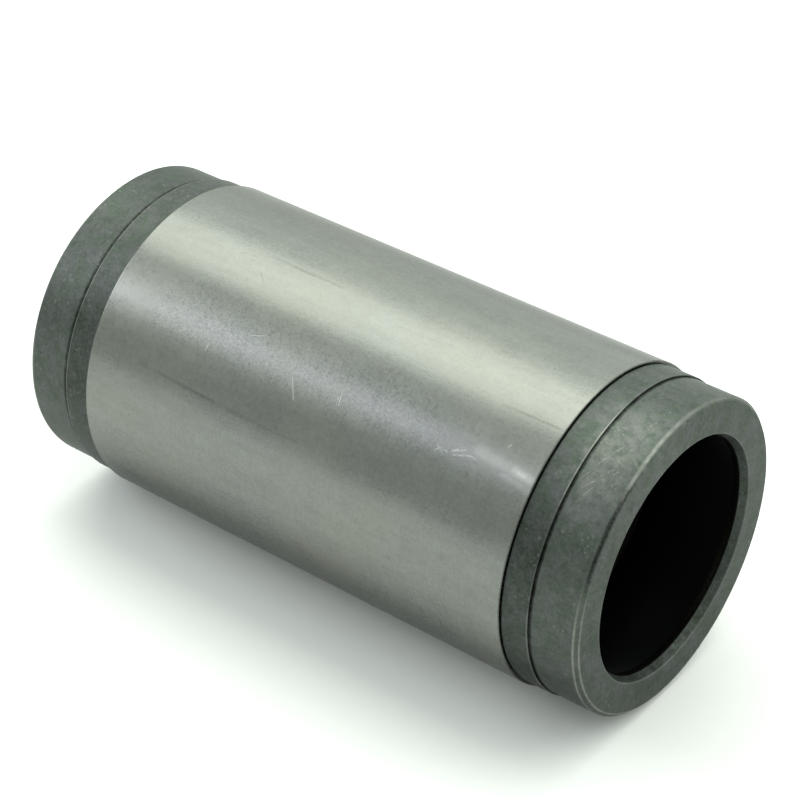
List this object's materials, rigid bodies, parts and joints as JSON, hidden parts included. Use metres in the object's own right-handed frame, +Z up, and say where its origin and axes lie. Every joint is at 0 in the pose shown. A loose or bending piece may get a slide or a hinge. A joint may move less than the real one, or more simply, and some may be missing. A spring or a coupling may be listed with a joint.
{
  "type": "linear ball bushing",
  "caption": "Stroke-type linear ball bushing: ground outer seat between dark stepped end collars, with a floating ball cage inside that guides a round shaft.",
  "frame": {"origin": "centre of the bushing, on its axis, halfway between the end faces", "axes": "+X along the bushing's axis towards the front end, +Z up as it lies on its side"},
  "size_m": [0.092, 0.045, 0.045],
  "materials": {
    "ground_steel": "ground, satin",
    "oxide_steel": "dark oxide, speckled",
    "race_steel": "hardened, dark, oiled",
    "spring_steel": "blued spring steel",
    "cage_brass": "turned",
    "ball_steel": "polished"
  },
  "bodies": {
    "shell": {"ground_sleeve": "ground_steel", "race_tube": "race_steel", "end_collar_front": "oxide_steel", "end_collar_rear": "oxide_steel", "retaining_ring_front": "spring_steel", "retaining_ring_rear": "spring_steel"},
    "guide_rings": {"cage_guide_ring_front": "spring_steel", "cage_guide_ring_rear": "spring_steel"},
    "cage": {"ball_cage": "cage_brass", "ball_row_01": "ball_steel", "ball_row_02": "ball_steel", "ball_row_03": "ball_steel", "ball_row_04": "ball_steel", "ball_row_05": "ball_steel", "ball_row_06": "ball_steel", "ball_row_07": "ball_steel", "ball_row_08": "ball_steel", "ball_row_09": "ball_steel", "ball_row_10": "ball_steel", "ball_row_11": "ball_steel", "ball_row_12": "ball_steel"}
  },
  "joints": [
    {"name": "cage_slide", "type": "slide", "parent": "shell", "child": "guide_rings", "axis": [1, 0, 0], "range_m": [-0.008, 0.008]},
    {"name": "cage_spin", "type": "hinge", "parent": "guide_rings", "child": "cage", "pos_m": [0, 0, 0], "axis": [1, 0, 0], "continuous": true}
  ]
}
